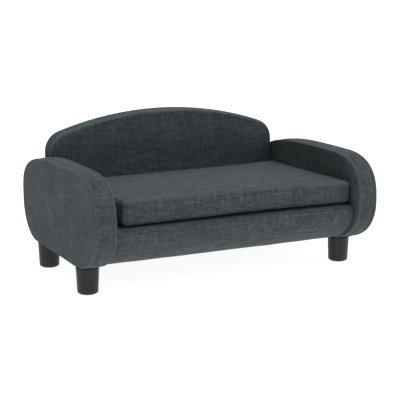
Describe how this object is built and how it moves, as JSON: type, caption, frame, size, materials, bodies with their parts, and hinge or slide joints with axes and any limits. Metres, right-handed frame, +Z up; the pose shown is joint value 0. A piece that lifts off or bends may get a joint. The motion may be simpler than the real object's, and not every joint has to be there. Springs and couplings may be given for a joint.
{
  "type": "pet sofa",
  "caption": "Low upholstered pet sofa with rounded side arms, an arched backrest, a padded platform, short tapered legs and a loose box cushion.",
  "frame": {"origin": "on the floor under the middle of the sofa: the centre of the bounding box's bottom face, level with the undersides of the leg glides", "axes": "+X runs along the sofa's width, towards the right arm as seen from the front; +Y points from the open front to the backrest; +Z is up"},
  "size_m": [0.8, 0.556, 0.403],
  "materials": {
    "upholstery": "matte",
    "foam": "matte",
    "board": "matte",
    "dust_cloth": "matte",
    "leg": "satin",
    "glide": "matte",
    "zinc_steel": "satin",
    "zip_tape": "matte",
    "zip_teeth": "satin",
    "zip_metal": "satin"
  },
  "bodies": {
    "sofa": {"arm_bolts": "zinc_steel", "back_arch_rail": "board", "back_band_cover": "upholstery", "back_bolts": "zinc_steel", "back_bottom_rail": "board", "back_edge_foam": "foam", "back_front_cover": "upholstery", "back_front_foam": "foam", "back_front_panel": "board", "back_posts": "board", "back_rear_cover": "upholstery", "back_rear_panel": "board", "bolt_tee_nuts": "zinc_steel", "bolt_washers": "zinc_steel", "dust_cover": "dust_cloth", "front_left_leg": "leg", "front_right_leg": "leg", "left_arm_band_cover": "upholstery", "left_arm_bottom_rail": "board", "left_arm_edge_foam": "foam", "left_arm_front_block": "board", "left_arm_inner_cover": "upholstery", "left_arm_inner_foam": "foam", "left_arm_inner_panel": "board", "left_arm_outer_cover": "upholstery", "left_arm_outer_foam": "foam", "left_arm_outer_panel": "board", "left_arm_rear_block": "board", "left_arm_top_rail": "board", "leg_glides": "glide", "leg_studs": "zinc_steel", "leg_tee_nuts": "zinc_steel", "platform_cover": "upholstery", "platform_deck_board": "board", "platform_foam": "foam", "platform_nose_skin": "board", "platform_rear_rail": "board", "platform_ribs": "board", "rear_left_leg": "leg", "rear_right_leg": "leg", "right_arm_band_cover": "upholstery", "right_arm_bottom_rail": "board", "right_arm_edge_foam": "foam", "right_arm_front_block": "board", "right_arm_inner_cover": "upholstery", "right_arm_inner_foam": "foam", "right_arm_inner_panel": "board", "right_arm_outer_cover": "upholstery", "right_arm_outer_foam": "foam", "right_arm_outer_panel": "board", "right_arm_rear_block": "board", "right_arm_top_rail": "board"},
    "cushion": {"cushion_top_cover": "upholstery", "cushion_base_cover": "upholstery", "cushion_boxing": "upholstery", "cushion_foam": "foam", "zip_tapes": "zip_tape", "zip_chain": "zip_teeth"},
    "zip_slider": {"zip_slider": "zip_metal"},
    "zip_pull": {"zip_pull": "zip_metal"}
  },
  "joints": [
    {"name": "cushion_lift", "type": "slide", "parent": "sofa", "child": "cushion", "axis": [0, 0, 1], "range_m": [0, 0.3]},
    {"name": "zip_slide", "type": "slide", "parent": "cushion", "child": "zip_slider", "axis": [1, 0, 0], "range_m": [0, 0.456]},
    {"name": "zip_pull_hinge", "type": "hinge", "parent": "zip_slider", "child": "zip_pull", "pos_m": [-0.2125, 0.1878, 0.2083], "axis": [0, 0, 1], "range_deg": [0, 14]}
  ]
}
